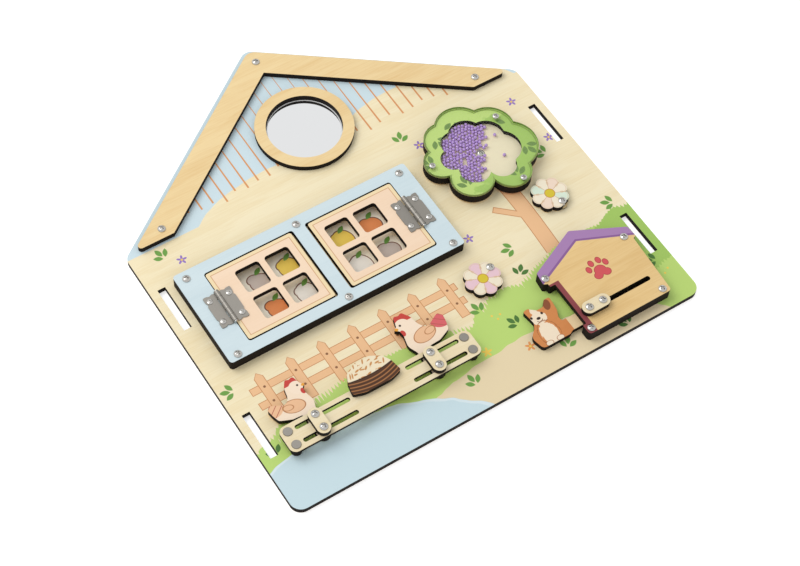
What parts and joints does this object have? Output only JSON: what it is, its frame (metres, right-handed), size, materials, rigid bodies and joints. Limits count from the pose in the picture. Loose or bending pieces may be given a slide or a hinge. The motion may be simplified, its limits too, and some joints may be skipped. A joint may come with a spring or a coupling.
{
  "type": "wooden busy board",
  "caption": "House-shaped plywood busy board with hinged window doors, a round mirror, a spinning bead-filled tree crown, swivel flowers, sliding hens and a dog that slides into a kennel.",
  "frame": {"origin": "centre of the board's outline, on the underside that lies on the table", "axes": "+X across the board to the right as seen from the front, +Y up the board towards the gable, +Z out of the decorated face"},
  "size_m": [0.4, 0.4212, 0.024],
  "materials": {
    "printed_board": "satin print on plywood, charred edges",
    "natural_wood": "sanded plywood, charred edges",
    "blue_print": "satin print on plywood",
    "peach_print": "satin print on plywood",
    "cream_print": "sanded pale plywood",
    "white_petals": "satin print on plywood",
    "pink_petals": "satin print on plywood",
    "nest_print": "satin print on plywood",
    "hen_print": "satin print on plywood",
    "dog_print": "satin print on plywood",
    "kennel_print": "satin print on plywood",
    "mirror_face": "polished acrylic mirror",
    "clear_cover": "clear acrylic with a green border",
    "purple_beads": "glossy",
    "bush_plastic": "matt",
    "steel": "nickel plated"
  },
  "bodies": {
    "board": {"base_board": "printed_board", "crown_pivot_bolt": "steel", "crown_spacer": "steel", "kennel_front": "kennel_print", "kennel_screws": "steel", "kennel_walls": "natural_wood", "left_hinge_frame_leaf": "steel", "left_hinge_frame_screws": "steel", "left_hinge_pin": "steel", "mirror_backing": "natural_wood", "mirror_disc": "mirror_face", "mirror_ring": "natural_wood", "nest": "nest_print", "pink_flower_pivot_bolt": "steel", "pink_flower_spacer": "steel", "pivot_nuts": "steel", "rail_plate": "cream_print", "rail_posts": "steel", "rail_standoffs": "natural_wood", "right_hinge_frame_leaf": "steel", "right_hinge_frame_screws": "steel", "right_hinge_pin": "steel", "roof_trim": "natural_wood", "roof_trim_screws": "steel", "white_flower_pivot_bolt": "steel", "white_flower_spacer": "steel", "window_frame": "blue_print", "window_frame_screws": "steel", "window_spacer": "natural_wood"},
    "left_door": {"left_door": "peach_print", "left_hinge_door_leaf": "steel", "left_hinge_door_screws": "steel"},
    "right_door": {"right_door": "peach_print", "right_hinge_door_leaf": "steel", "right_hinge_door_screws": "steel"},
    "crown": {"crown_back": "cream_print", "crown_wall": "natural_wood", "crown_cover": "clear_cover", "crown_beads": "purple_beads", "crown_screws": "steel"},
    "white_flower": {"white_flower": "white_petals"},
    "pink_flower": {"pink_flower": "pink_petals"},
    "left_hen": {"left_hen": "hen_print", "left_hen_handle": "natural_wood", "left_hen_screws": "steel", "left_hen_bushes": "bush_plastic", "left_hen_nuts": "steel"},
    "right_hen": {"right_hen": "hen_print", "right_hen_handle": "natural_wood", "right_hen_screws": "steel", "right_hen_bushes": "bush_plastic", "right_hen_nuts": "steel"},
    "dog": {"dog": "dog_print", "dog_handle": "natural_wood", "dog_screws": "steel", "dog_bushes": "bush_plastic"}
  },
  "joints": [
    {"name": "left_door_hinge", "type": "hinge", "parent": "board", "child": "left_door", "pos_m": [-0.155, -0.02345, 0.01885], "axis": [0, -1, 0], "range_deg": [0, 170]},
    {"name": "right_door_hinge", "type": "hinge", "parent": "board", "child": "right_door", "pos_m": [0.0294, -0.02345, 0.01885], "axis": [0, 1, 0], "range_deg": [0, 170]},
    {"name": "crown_spin", "type": "hinge", "parent": "board", "child": "crown", "pos_m": [0.1175, 0.00285, 0.009], "axis": [0, 0, 1], "continuous": true},
    {"name": "white_flower_swivel", "type": "hinge", "parent": "board", "child": "white_flower", "pos_m": [0.1493, -0.07685, 0.009], "axis": [0, 0, 1], "continuous": true},
    {"name": "pink_flower_swivel", "type": "hinge", "parent": "board", "child": "pink_flower", "pos_m": [0.0568, -0.10135, 0.009], "axis": [0, 0, 1], "continuous": true},
    {"name": "left_hen_slide", "type": "slide", "parent": "board", "child": "left_hen", "axis": [1, 0, 0], "range_m": [-0.0138, 0.0278]},
    {"name": "right_hen_slide", "type": "slide", "parent": "board", "child": "right_hen", "axis": [1, 0, 0], "range_m": [-0.0208, 0.0222]},
    {"name": "dog_slide", "type": "slide", "parent": "board", "child": "dog", "axis": [1, 0, 0], "range_m": [0, 0.047]}
  ]
}
